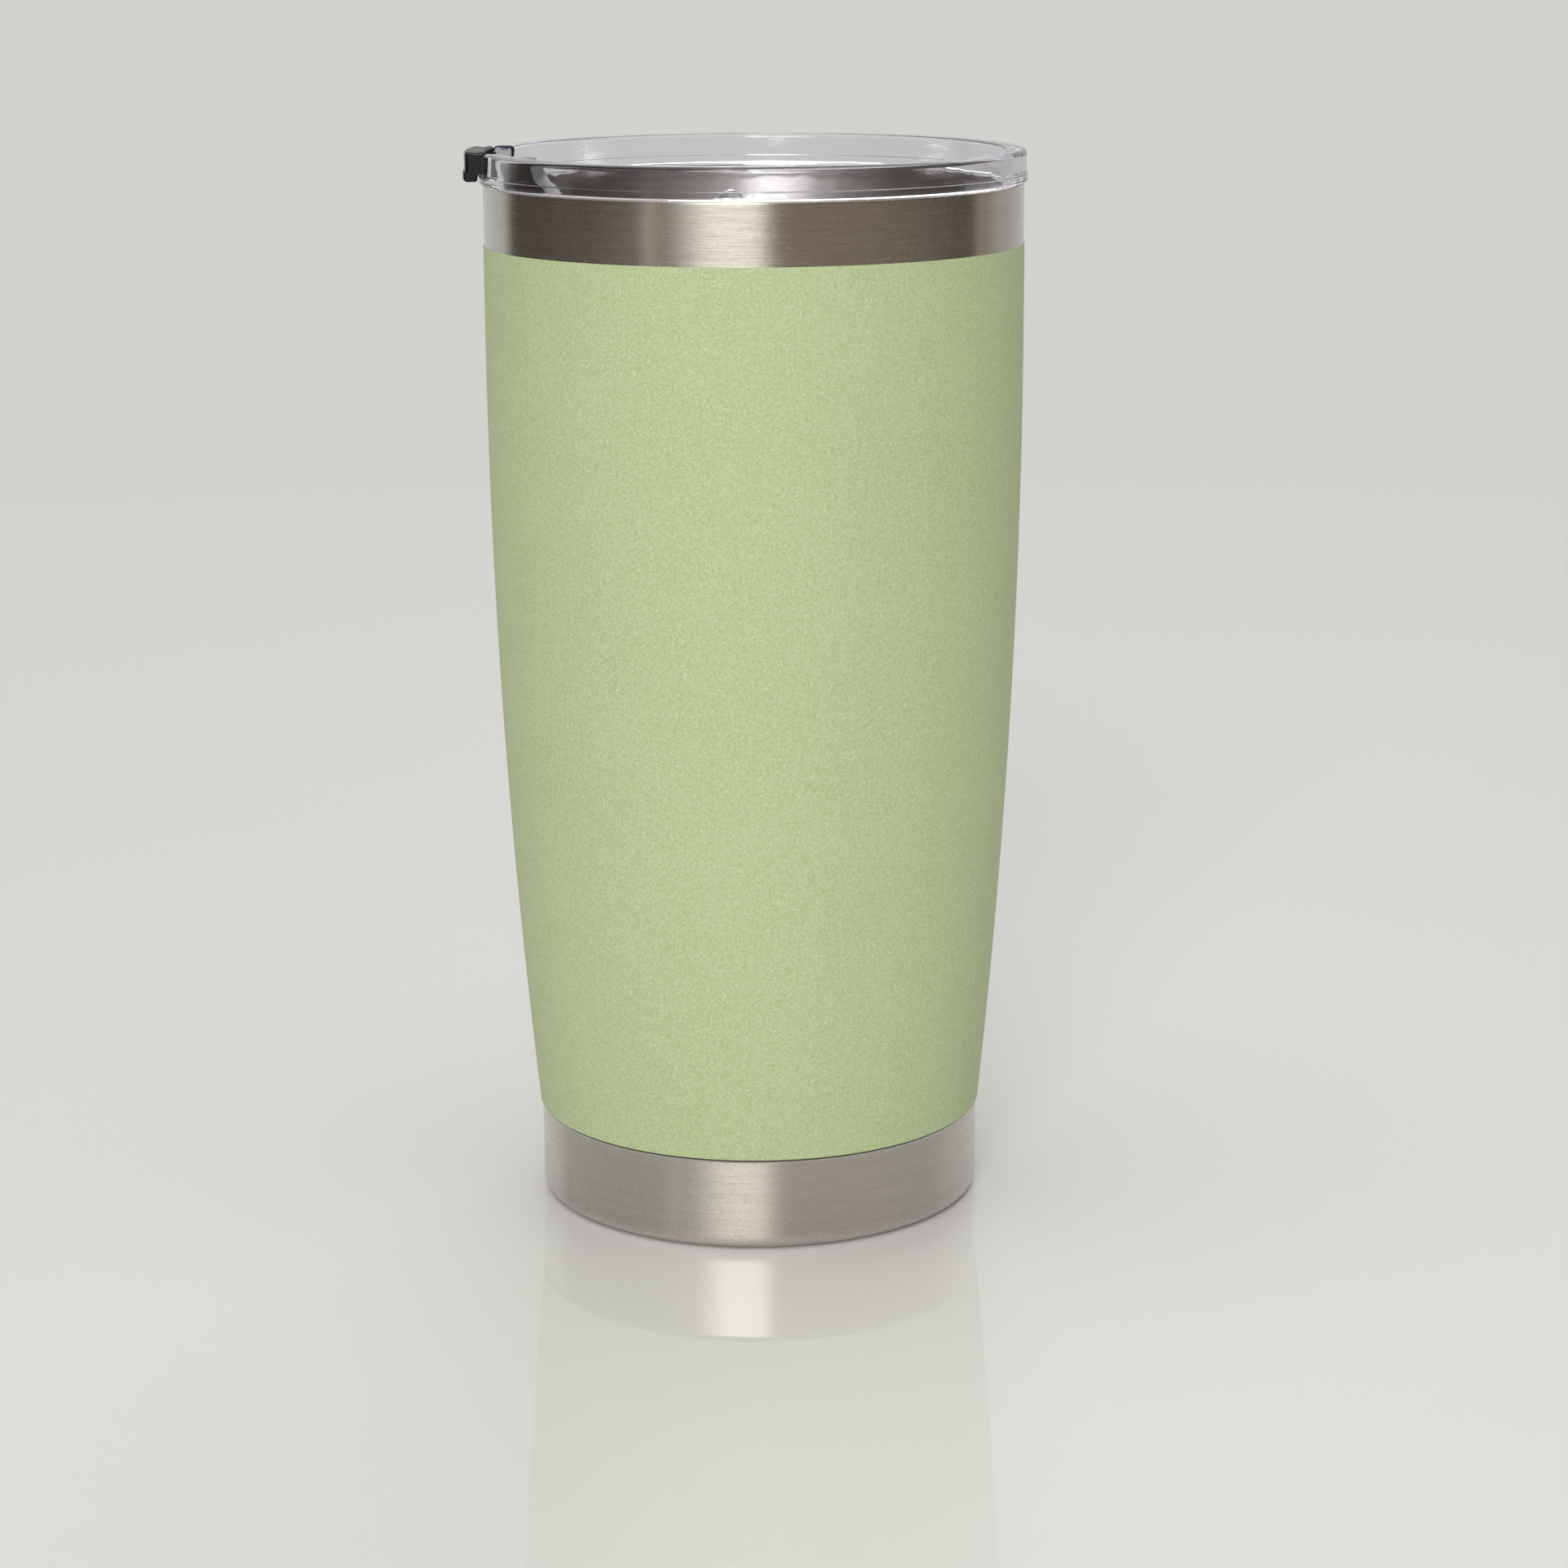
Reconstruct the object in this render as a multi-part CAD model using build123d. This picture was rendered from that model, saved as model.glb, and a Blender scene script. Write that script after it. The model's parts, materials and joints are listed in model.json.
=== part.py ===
from build123d import *
import math
import os

# An insulated travel mug: a double-walled steel tumbler with a powder-coated body, and a clear
# press-in lid with a black flip lever. The origin is the middle of the foot, +Z is up, and the
# lever's tip points to -X. Every size is in millimetres.

# Outside of the tumbler
overall_height = 174.6        # foot to the top of the lid's rim
lid_stand = 5.2               # how far the lid's rim stands above the steel lip
body_radius = 43.7            # bare steel, straight part under the lip
straight_length = 23.9        # straight part, from the lip down
waist_radius = 37.15          # bare steel where the curved side ends
band_height = 15.5            # bare band over the foot, up to the curved side
band_radius = 36.9            # bare band, a true cylinder
band_step = 0.6               # height of the small cone between the side and the band
foot_rounding = 2.0           # outside corner of the foot
foot_width = 3.2              # from the end of that corner to the recess under the base

# Steel sheet and the vacuum space
shell_wall = 0.7
vessel_wall = 0.7
vacuum_gap = 3.5              # between the two sheets along the curved side
floor_gap = 4.7               # between the base plate and the vessel's bottom
bottom_rounding = 6.0         # corner inside the vessel's bottom
cap_height = 9.0              # vessel's bottom cap, measured from its inner floor
foil_wall = 0.12
foil_margin = 6.0             # bare length of the vessel's curved wall above and below the foil

# Mouth of the vessel
mouth_depth = 2.5             # straight part at the lip, welded to the shell
mouth_taper = 4.0             # height of the cone under it
seat_radius = 40.9            # straight bore that the lid's seal works in
seat_depth = 11.0             # its length
seat_runout = 6.4             # height of the cone below it
lip_rounding = 0.35

# Powder coat
coat_wall = 0.12
coat_margin = 9.8             # bare steel between the lip and the coat

# Base
base_wall = 0.7
base_recess = 3.4             # underside of the base plate above the foot
leg_overlap = 0.5             # how far the shell's turned-in leg stands above the base plate
dish_radius = 7.0
dish_rise = 1.2
port_radius = 1.0             # evacuation hole
bead_radius = 4.0
cover_wall = 0.5
cover_clearance = 0.2
glue_wall = 0.6
glue_inner = 10.0
glue_margin = 2.5
getter_offset = 17.0          # from the axis
getter_radius = 3.0
getter_height = 2.0
clip_length = 15.0
clip_width = 8.0
clip_wall = 0.5
clip_tab = 1.6

# Lid
seat_clearance = 0.05         # under the lid's flange, where it rests on the lip
rim_radius = 44.1
rim_wall = 3.4
rim_rounding = 0.7
flange_radius = 44.28
flange_wall = 1.4
flange_rounding = 0.35
spigot_clearance = 0.3        # lid in the mouth
spigot_depth = 1.2            # straight part of the lid inside the mouth
skirt_clearance = 0.9         # lid in the seat
skirt_wall = 1.4
skirt_cone = 4.6
skirt_length = 13.2           # lid inside the mug
lid_floor_wall = 2.0
lid_floor_depth = 8.4         # top of the lid's floor below the flange's underside
groove_height = 3.4
groove_depth = 1.1
groove_land = 1.3             # skirt below the groove
seal_clearance = 0.3          # seal in the bore, drawn uncompressed
seal_side = 0.1               # seal in its groove, up and down
seal_body = 1.0
seal_lip = 0.9

# Flip lever and its hinge
hinge_offset = 4.0            # hinge line from the axis, towards the tip
hinge_rise = 3.6              # hinge line above the lid's floor
pin_radius = 1.0
pin_clearance = 0.05
barrel_radius = 2.6
ear_radius = 2.8
ear_wall = 2.6
ear_gap = 0.4
lever_width = 16.4
arm_wall = 3.0
arm_rise = 2.0                # underside of the arm above the lid's floor
riser_wall = 4.6
riser_foot = 5.0              # length of the curve from the arm into the riser
wall_gap = 0.5                # lever to the recess wall
notch_gap = 0.35              # lever above the notch's floor
notch_side = 1.8              # lever to each end of the notch
bar_wall = 1.6
tip_radius = 46.6
tip_wall = 1.9                # the part that hangs outside the flange
tip_inner = 43.3              # inner face of the tip's upper part
tip_stand = 0.1               # tip above the rim
tip_drop = 4.6                # top of the rim to the bottom of the tip
tip_lip = 0.3
tip_rounding = 0.5
sip_length = 14.0             # along the hinge line
sip_width = 7.0
sip_margin = 5.1              # from the slot to the skirt's inner wall
plug_gap = 0.2
plug_clearance = 0.3
plug_land = 1.0
plug_depth = 1.1
vent_spacing = 11.0           # from the hinge line
vent_radius = 1.5
vent_land = 1.3

# Heights and radii that follow from the sizes above
lip_z = overall_height - lid_stand
coat_top_z = lip_z - coat_margin
curve_top_z = lip_z - straight_length
curve_drop = body_radius - waist_radius
curve_height = curve_top_z - band_height
curve_radius = (curve_height**2 + curve_drop**2) / (2 * curve_drop)
leg_radius = band_radius - foot_rounding - foot_width + shell_wall
base_top_z = base_recess + base_wall
vessel_floor_z = base_top_z + floor_gap + vessel_wall
vessel_inset = shell_wall + vacuum_gap + vessel_wall
cap_joint_z = vessel_floor_z + cap_height
mouth_radius = body_radius - shell_wall - vessel_wall
mouth_end_z = lip_z - mouth_depth
seat_top_z = mouth_end_z - mouth_taper
seat_end_z = seat_top_z - seat_depth
seat_runout_z = seat_end_z - seat_runout

flange_z = lip_z + seat_clearance
flange_top_z = flange_z + flange_wall
recess_radius = rim_radius - rim_wall
spigot_radius = mouth_radius - spigot_clearance
skirt_radius = seat_radius - skirt_clearance
skirt_inner = skirt_radius - skirt_wall
spigot_end_z = lip_z - spigot_depth
skirt_top_z = spigot_end_z - skirt_cone
lid_floor_z = flange_z - lid_floor_depth
skirt_end_z = lip_z - skirt_length
groove_z = skirt_end_z + groove_land
groove_radius = skirt_radius - groove_depth
cap_inner = groove_radius - 0.7 * groove_depth

hinge_x = -hinge_offset
hinge_z = lid_floor_z + hinge_rise
arm_z = lid_floor_z + arm_rise
bar_z = flange_top_z + notch_gap
sip_offset = skirt_inner - sip_margin - sip_width / 2
vent_offset = hinge_offset + vent_spacing
tip_top_z = overall_height + tip_stand
tip_bottom_z = overall_height - tip_drop


def side_radius(z):
    """Radius of the bare steel on the curved side at height z."""
    below = max(curve_top_z - z, 0)
    return body_radius - curve_radius + math.sqrt(curve_radius**2 - below**2)


def turned(line):
    """Solid of revolution of a closed outline drawn in the XZ plane."""
    face = make_face(Plane.XZ * line)
    return revolve(face, axis=Axis.Z, revolution_arc=360)


def side_curve(inset, top_z, bottom_z):
    """Arc of the curved side, moved towards the axis, from one height down to another."""
    middle_z = (top_z + bottom_z) / 2
    points = [(side_radius(z) - inset, z) for z in (top_z, middle_z, bottom_z)]
    return ThreePointArc(*points)


def outline(*pieces):
    """Closed outline of straight runs (lists of points) and ready-made curves, in order."""
    edges = []
    last = None
    first = None
    for piece in pieces:
        edge = Polyline(*piece) if isinstance(piece, list) else piece
        start = edge @ 0
        if last is not None and (start - last).length > 1e-6:
            edges.append(Line(last, start))
        if first is None:
            first = start
        last = edge @ 1
        edges.append(edge)
    if (first - last).length > 1e-6:
        edges.append(Line(last, first))
    return Curve() + edges


def corner(start, centre, end):
    """Quarter-round from start to end about a centre."""
    radius = math.dist(start, centre)
    middle = [(start[i] + end[i]) / 2 - centre[i] for i in (0, 1)]
    scale = radius / math.hypot(*middle)
    through = (centre[0] + middle[0] * scale, centre[1] + middle[1] * scale)
    return ThreePointArc(start, through, end)


def outer_shell():
    """Drawn outer sheet, from the lip to the foot, with its edge turned up under the base."""
    inner = body_radius - shell_wall
    band_in = band_radius - shell_wall
    step_z = band_height - band_step
    round_in = foot_rounding - shell_wall
    leg_top = base_top_z + leg_overlap
    leg_out = leg_radius
    leg_in = leg_radius - shell_wall
    line = outline(
        [(inner, lip_z), (body_radius - lip_rounding, lip_z)],
        corner((body_radius - lip_rounding, lip_z),
               (body_radius - lip_rounding, lip_z - lip_rounding),
               (body_radius, lip_z - lip_rounding)),
        [(body_radius, lip_z - lip_rounding), (body_radius, curve_top_z)],
        side_curve(0, curve_top_z, band_height),
        [(waist_radius, band_height), (band_radius, step_z), (band_radius, foot_rounding)],
        corner((band_radius, foot_rounding), (band_radius - foot_rounding, foot_rounding),
               (band_radius - foot_rounding, 0)),
        [(band_radius - foot_rounding, 0), (leg_in + shell_wall, 0)],
        corner((leg_in + shell_wall, 0), (leg_in + shell_wall, shell_wall), (leg_in, shell_wall)),
        [(leg_in, shell_wall), (leg_in, leg_top), (leg_out, leg_top), (leg_out, shell_wall),
         (band_radius - foot_rounding, shell_wall)],
        corner((band_radius - foot_rounding, shell_wall),
               (band_radius - foot_rounding, foot_rounding),
               (band_radius - foot_rounding + round_in, foot_rounding)),
        [(band_in, foot_rounding), (band_in, step_z), (waist_radius - shell_wall, band_height)],
        side_curve(shell_wall, band_height, curve_top_z),
        [(inner, curve_top_z), (inner, lip_z)],
    )
    return turned(line)


def vessel_wall_line(grow):
    """Vessel's wall from the mouth to the cap joint, moved outwards by grow."""
    return [
        [(mouth_radius + grow, lip_z), (mouth_radius + grow, mouth_end_z),
         (seat_radius + grow, seat_top_z), (seat_radius + grow, seat_end_z),
         (side_radius(seat_runout_z) - vessel_inset + grow, seat_runout_z)],
        side_curve(vessel_inset - grow, seat_runout_z, cap_joint_z),
    ]


def inner_vessel():
    """Drawn inner wall, with the mouth, the seal's seat and the curved side."""
    inside, inside_curve = vessel_wall_line(0)
    outside, outside_curve = vessel_wall_line(vessel_wall)
    inside[0] = (mouth_radius, lip_z - lip_rounding)
    line = outline(
        corner((mouth_radius + lip_rounding, lip_z),
               (mouth_radius + lip_rounding, lip_z - lip_rounding),
               (mouth_radius, lip_z - lip_rounding)),
        inside,
        inside_curve,
        [inside_curve @ 1, outside_curve @ 1],
        side_curve(vessel_inset - vessel_wall, cap_joint_z, seat_runout_z),
        outside[::-1],
    )
    return turned(line)


def inner_bottom():
    """Pressed cap that closes the vessel, butt-welded to its wall."""
    radius = side_radius(cap_joint_z) - vessel_inset
    outer = radius + vessel_wall
    under_z = vessel_floor_z - vessel_wall
    big = bottom_rounding + vessel_wall
    rounding_z = vessel_floor_z + bottom_rounding
    line = outline(
        [(0, vessel_floor_z), (radius - bottom_rounding, vessel_floor_z)],
        corner((radius - bottom_rounding, vessel_floor_z), (radius - bottom_rounding, rounding_z),
               (radius, rounding_z)),
        [(radius, rounding_z), (radius, cap_joint_z), (outer, cap_joint_z), (outer, rounding_z)],
        corner((outer, rounding_z), (outer - big, rounding_z), (outer - big, under_z)),
        [(outer - big, under_z), (0, under_z), (0, vessel_floor_z)],
    )
    return turned(line)


def foil_wrap():
    """Thin reflecting foil wound on the vessel's curved wall, inside the vacuum."""
    top_z = seat_runout_z - foil_margin
    bottom_z = cap_joint_z + foil_margin
    inset = vessel_inset - vessel_wall
    line = outline(
        side_curve(inset, top_z, bottom_z),
        side_curve(inset - foil_wall, bottom_z, top_z),
    )
    return turned(line)


def powder_coat():
    """Coloured skin over the curved side and the lower part of the straight side."""
    line = outline(
        [(body_radius + coat_wall, coat_top_z), (body_radius + coat_wall, curve_top_z)],
        side_curve(-coat_wall, curve_top_z, band_height),
        [(waist_radius + coat_wall, band_height), (waist_radius, band_height)],
        side_curve(0, band_height, curve_top_z),
        [(body_radius, curve_top_z), (body_radius, coat_top_z)],
    )
    return turned(line)


def base_plate():
    """Disc welded inside the turned-up leg, with a dish and the evacuation port."""
    edge = leg_radius - shell_wall
    dish_z = base_recess + dish_rise
    line = outline([
        (edge, base_recess), (edge, base_top_z), (dish_radius + base_wall, base_top_z),
        (dish_radius + base_wall, base_top_z + dish_rise),
        (port_radius, base_top_z + dish_rise), (port_radius, dish_z),
        (dish_radius, dish_z), (dish_radius, base_recess),
    ])
    return turned(line)


def vacuum_seal_bead():
    """Solder-glass bead that fills the port and lies in the dish."""
    dish_z = base_recess + dish_rise
    line = outline([
        (0, dish_z - 0.6 * dish_rise), (bead_radius, dish_z - 0.6 * dish_rise),
        (bead_radius, dish_z), (port_radius, dish_z),
        (port_radius, base_top_z + dish_rise), (0, base_top_z + dish_rise),
    ])
    return turned(line)


def base_cover():
    """Thin disc glued under the base plate."""
    top_z = base_recess - glue_wall
    radius = leg_radius - shell_wall - cover_clearance
    return Pos(0, 0, top_z - cover_wall / 2) * Cylinder(radius, cover_wall)


def cover_adhesive():
    """Flat ring of adhesive between the base plate and its cover."""
    radius = leg_radius - shell_wall - cover_clearance - glue_margin
    ring = Cylinder(radius, glue_wall) - Cylinder(glue_inner, glue_wall)
    return Pos(0, 0, base_recess - glue_wall / 2) * ring


def getter_clip():
    """Strip with two tabs, spot-welded to the base plate inside the vacuum."""
    strip = Box(clip_length, clip_width, clip_wall, align=(Align.CENTER, Align.CENTER, Align.MIN))
    tab = Box(clip_wall, clip_width, clip_tab, align=(Align.CENTER, Align.CENTER, Align.MIN))
    reach = getter_radius + clip_wall / 2
    clip = strip + Pos(-reach, 0, clip_wall) * tab + Pos(reach, 0, clip_wall) * tab
    return Pos(getter_offset, 0, base_top_z) * clip


def getter_pellet():
    """Pellet that keeps the vacuum clean."""
    middle_z = base_top_z + clip_wall + getter_height / 2
    return Pos(getter_offset, 0, middle_z) * Cylinder(getter_radius, getter_height)


def recess_line(gap):
    """Inner wall of the lid's recess, from its floor up to the rim, moved inwards by gap."""
    return [
        (skirt_inner - gap, lid_floor_z), (skirt_inner - gap, skirt_top_z),
        (recess_radius - gap, spigot_end_z), (recess_radius - gap, overall_height),
    ]


def lid_shell():
    """Turned form of the lid: rim, flange, skirt with the seal's groove, and floor."""
    round_z = overall_height - rim_rounding
    top_in = recess_radius + rim_rounding
    top_out = rim_radius - rim_rounding
    flange_in = flange_radius - flange_rounding
    recess = recess_line(0)
    recess[-1] = (recess_radius, round_z)
    floor_under = lid_floor_z - lid_floor_wall
    line = outline(
        [(0, floor_under), (0, lid_floor_z)] + recess,
        corner((recess_radius, round_z), (top_in, round_z), (top_in, overall_height)),
        [(top_in, overall_height), (top_out, overall_height)],
        corner((top_out, overall_height), (top_out, round_z), (rim_radius, round_z)),
        [(rim_radius, round_z), (rim_radius, flange_top_z), (flange_in, flange_top_z)],
        corner((flange_in, flange_top_z), (flange_in, flange_top_z - flange_rounding),
               (flange_radius, flange_top_z - flange_rounding)),
        corner((flange_radius, flange_z + flange_rounding), (flange_in, flange_z + flange_rounding),
               (flange_in, flange_z)),
        [(flange_in, flange_z), (spigot_radius, flange_z), (spigot_radius, spigot_end_z),
         (skirt_radius, skirt_top_z), (skirt_radius, groove_z + groove_height),
         (groove_radius, groove_z + groove_height), (groove_radius, groove_z),
         (skirt_radius, groove_z), (skirt_radius, skirt_end_z), (cap_inner, skirt_end_z),
         (cap_inner, floor_under), (0, floor_under)],
    )
    return turned(line)


def hinge_ears():
    """Two ears on the lid's floor, one each side of the lever."""
    ears = []
    height = hinge_z - lid_floor_z
    for side in (-1, 1):
        y = side * (lever_width / 2 + ear_gap + ear_wall / 2)
        post = Box(2 * ear_radius, ear_wall, height, align=(Align.CENTER, Align.CENTER, Align.MIN))
        eye = Rot(90, 0, 0) * Cylinder(ear_radius, ear_wall)
        ears += [Pos(hinge_x, y, lid_floor_z) * post, Pos(hinge_x, y, hinge_z) * eye]
    return ears


def slot(length, width, height):
    """Round-ended cutter, long along the hinge line."""
    return extrude(SlotOverall(length, width, rotation=90), height / 2, both=True)


def lid_body():
    """Clear moulded lid, with its notch, sip slot, vent and hinge ears."""
    lid = lid_shell()
    for ear in hinge_ears():
        lid += ear
    notch_width = lever_width + 2 * notch_side
    notch = Box(tip_radius, notch_width, lid_stand, align=(Align.MAX, Align.CENTER, Align.MIN))
    lid -= Pos(-sip_offset, 0, flange_top_z) * notch
    lid -= Pos(-sip_offset, 0, lid_floor_z) * slot(sip_length, sip_width, 3 * lid_floor_wall)
    lid -= Pos(-vent_offset, 0, lid_floor_z) * Cylinder(vent_radius, 3 * lid_floor_wall)
    span = lever_width + 2 * (ear_gap + ear_wall)
    lid -= Pos(hinge_x, 0, hinge_z) * Rot(90, 0, 0) * Cylinder(pin_radius, span)
    return lid


def lid_gasket():
    """Two-lipped silicone seal in the skirt's groove."""
    low = groove_z + seal_side
    high = groove_z + groove_height - seal_side
    root = groove_radius + seal_body
    lip = seat_radius - seal_clearance
    line = outline([
        (groove_radius, low), (root, low), (lip, low + seal_lip / 3), (lip, low + seal_lip),
        (root, low + 1.4 * seal_lip), (root, high - 1.4 * seal_lip), (lip, high - seal_lip),
        (lip, high - seal_lip / 3), (root, high), (groove_radius, high),
    ])
    return turned(line)


def hinge_pin():
    """Steel pin pressed into the ears."""
    span = lever_width + 2 * (ear_gap + ear_wall)
    return Pos(hinge_x, 0, hinge_z) * Rot(90, 0, 0) * Cylinder(pin_radius, span)


def lever_arm():
    """Arm, riser and bar of the lever, kept clear of the recess wall and the notch."""
    arm_top = arm_z + arm_wall
    bar_top = bar_z + bar_wall
    riser_out = -recess_radius
    riser_in = -(recess_radius - wall_gap - riser_wall)
    line = outline(
        [(hinge_x, arm_z), (hinge_x, arm_top), (riser_in + riser_foot, arm_top)],
        Spline((riser_in + riser_foot, arm_top), (riser_in, bar_top),
               tangents=[(-1, 0), (-0.35, 1)]),
        [(riser_in, bar_top), (-tip_inner - rim_rounding, bar_top), (-tip_inner - rim_rounding, bar_z),
         (riser_out, bar_z), (riser_out, arm_z)],
    )
    profile = make_face(Plane.XZ * line)
    arm = extrude(profile, lever_width / 2, both=True)
    wall = recess_line(wall_gap)[:-1]
    room = outline([(0, arm_z), (wall[0][0], arm_z)] + wall[1:] + [
        (wall[-1][0], bar_z), (tip_radius, bar_z), (tip_radius, bar_top), (0, bar_top),
    ])
    return arm & turned(room)


def lever_tip():
    """Finger tip outside the rim, concentric with it, with a small lip at its lower edge."""
    inner = tip_radius - tip_wall
    lip_top = bar_z + tip_lip
    round_z = tip_top_z - tip_rounding
    line = outline(
        [(tip_inner, bar_z), (tip_inner, tip_top_z), (tip_radius - tip_rounding, tip_top_z)],
        corner((tip_radius - tip_rounding, tip_top_z), (tip_radius - tip_rounding, round_z),
               (tip_radius, round_z)),
        [(tip_radius, round_z), (tip_radius, lip_top + tip_lip), (tip_radius + tip_lip, lip_top),
         (tip_radius + tip_lip, tip_bottom_z + tip_lip), (tip_radius, tip_bottom_z),
         (inner, tip_bottom_z), (inner, bar_z), (tip_inner, bar_z)],
    )
    ring = turned(line)
    keep = Box(2 * tip_radius, lever_width, overall_height, align=(Align.MAX, Align.CENTER, Align.MIN))
    return ring & (Pos(0, 0, lid_floor_z) * keep)


def flip_lever():
    """Black lever that closes the sip slot and the vent."""
    barrel = Pos(hinge_x, 0, hinge_z) * Rot(90, 0, 0) * Cylinder(barrel_radius, lever_width)
    bore = Cylinder(pin_radius + pin_clearance, 2 * lever_width)
    lever = lever_arm() + lever_tip() + barrel
    return lever - Pos(hinge_x, 0, hinge_z) * Rot(90, 0, 0) * bore


def sip_plug():
    """Silicone plug under the arm: a pad, and a land that enters the sip slot."""
    pad_z = lid_floor_z + plug_gap
    pad = extrude(SlotOverall(sip_length + 2 * plug_land, sip_width + 2 * plug_land, rotation=90),
                  arm_z - pad_z)
    land = extrude(SlotOverall(sip_length - 2 * plug_clearance, sip_width - 2 * plug_clearance,
                               rotation=90), -plug_depth)
    return Pos(-sip_offset, 0, pad_z) * (pad + land)


def vent_plug():
    """Small silicone plug under the arm, over the vent."""
    pad_z = lid_floor_z + plug_gap
    bottom = (Align.CENTER, Align.CENTER, Align.MIN)
    top = (Align.CENTER, Align.CENTER, Align.MAX)
    pad = Cylinder(vent_radius + vent_land, arm_z - pad_z, align=bottom)
    land = Cylinder(vent_radius - plug_clearance, plug_depth, align=top)
    return Pos(-vent_offset, 0, pad_z) * (pad + land)


nodes = {
    "outer_shell": outer_shell,
    "inner_vessel": inner_vessel,
    "inner_bottom": inner_bottom,
    "foil_wrap": foil_wrap,
    "powder_coat": powder_coat,
    "base_plate": base_plate,
    "vacuum_seal_bead": vacuum_seal_bead,
    "getter_clip": getter_clip,
    "getter_pellet": getter_pellet,
    "base_cover": base_cover,
    "cover_adhesive": cover_adhesive,
    "lid_body": lid_body,
    "lid_gasket": lid_gasket,
    "hinge_pin": hinge_pin,
    "flip_lever": flip_lever,
    "sip_plug": sip_plug,
    "vent_plug": vent_plug,
}

os.makedirs("parts", exist_ok=True)
for name, make in nodes.items():
    export_step(make(), f"parts/{name}.step")
    print("wrote", name)
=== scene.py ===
# The looks of an insulated travel mug: brushed steel, powder coat, clear lid, black flip lever.
import json
from math import pi, radians

import bmesh
import bpy
import numpy as np
from mathutils import Matrix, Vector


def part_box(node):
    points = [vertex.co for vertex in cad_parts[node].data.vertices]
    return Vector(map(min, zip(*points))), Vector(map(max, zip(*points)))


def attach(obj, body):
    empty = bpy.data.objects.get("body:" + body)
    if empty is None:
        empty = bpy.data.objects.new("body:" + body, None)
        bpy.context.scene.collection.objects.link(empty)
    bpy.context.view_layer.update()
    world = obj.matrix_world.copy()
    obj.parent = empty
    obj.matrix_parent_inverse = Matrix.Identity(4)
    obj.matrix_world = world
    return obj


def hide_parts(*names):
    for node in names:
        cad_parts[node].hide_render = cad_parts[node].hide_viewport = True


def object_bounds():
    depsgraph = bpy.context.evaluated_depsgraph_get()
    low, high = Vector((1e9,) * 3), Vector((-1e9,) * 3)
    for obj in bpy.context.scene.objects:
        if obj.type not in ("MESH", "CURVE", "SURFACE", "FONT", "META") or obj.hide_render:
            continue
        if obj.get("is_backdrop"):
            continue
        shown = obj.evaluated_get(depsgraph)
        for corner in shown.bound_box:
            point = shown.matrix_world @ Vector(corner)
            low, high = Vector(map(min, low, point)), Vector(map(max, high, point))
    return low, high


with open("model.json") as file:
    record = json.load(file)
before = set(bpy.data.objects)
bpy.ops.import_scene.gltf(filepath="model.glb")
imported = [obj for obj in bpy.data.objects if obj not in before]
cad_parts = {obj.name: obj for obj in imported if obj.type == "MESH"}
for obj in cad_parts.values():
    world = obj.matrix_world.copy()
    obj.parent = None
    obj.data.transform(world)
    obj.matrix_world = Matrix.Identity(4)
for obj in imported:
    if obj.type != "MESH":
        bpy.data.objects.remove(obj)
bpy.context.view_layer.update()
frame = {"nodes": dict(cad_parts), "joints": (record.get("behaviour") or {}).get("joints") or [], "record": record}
mm = 0.001
cutHalf = 15 * mm        # half the length of the bar that drills a pin hole
cutEdge = 0.01 * mm      # the edges of what drills stay all but sharp
print("frame loaded:", len(frame["nodes"]), "nodes")


# places that the frame gives
def lowOf(node):
    return np.array(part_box(node)[0])


def highOf(node):
    return np.array(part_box(node)[1])


def mountOf(name):
    return next(m for m in frame["record"]["mounts"] if m["name"] == name)


def jointOf(name):
    return next(j for j in frame["joints"] if j["name"] == name)


place = {
    "lip": highOf("outer_shell")[2],
    "bodyRadius": highOf("outer_shell")[0],
    "bandRadius": mountOf("cup_holder_band")["dims"]["r_mm"] * mm,
    "coatTop": highOf("powder_coat")[2],
    "coatBottom": lowOf("powder_coat")[2],
    "vesselJoint": lowOf("inner_vessel")[2],
    "flangeRadius": highOf("lid_body")[0],
    "rimTop": highOf("lid_body")[2],
    "skirtBottom": lowOf("lid_body")[2],
    "hinge": np.array(jointOf("lever_flip")["pos_m"]),
    "leverHalf": highOf("flip_lever")[1],
    "tipTop": highOf("flip_lever")[2],
    "armUnder": highOf("sip_plug")[2],
    "tipReach": -lowOf("flip_lever")[0],
    "sipCentre": (lowOf("sip_plug")[0] + highOf("sip_plug")[0]) / 2,
    "ventCentre": (lowOf("vent_plug")[0] + highOf("vent_plug")[0]) / 2,
}


# shader maths
class Wire:
    # one output socket; + - * / and ** on wires and numbers add Math nodes
    def __init__(self, maker, socket):
        self.maker, self.socket = maker, socket

    def math(self, operation, first, second):
        settings = {"operation": operation}
        return self.maker.add("ShaderNodeMath", settings, {0: first, 1: second})

    def __add__(self, other):
        return self.math("ADD", self, other)

    def __radd__(self, other):
        return self.math("ADD", other, self)

    def __sub__(self, other):
        return self.math("SUBTRACT", self, other)

    def __rsub__(self, other):
        return self.math("SUBTRACT", other, self)

    def __mul__(self, other):
        return self.math("MULTIPLY", self, other)

    def __rmul__(self, other):
        return self.math("MULTIPLY", other, self)

    def __truediv__(self, other):
        return self.math("DIVIDE", self, other)

    def __rtruediv__(self, other):
        return self.math("DIVIDE", other, self)

    def __pow__(self, other):
        return self.math("POWER", self, other)

    def __rpow__(self, other):
        return self.math("POWER", other, self)


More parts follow.
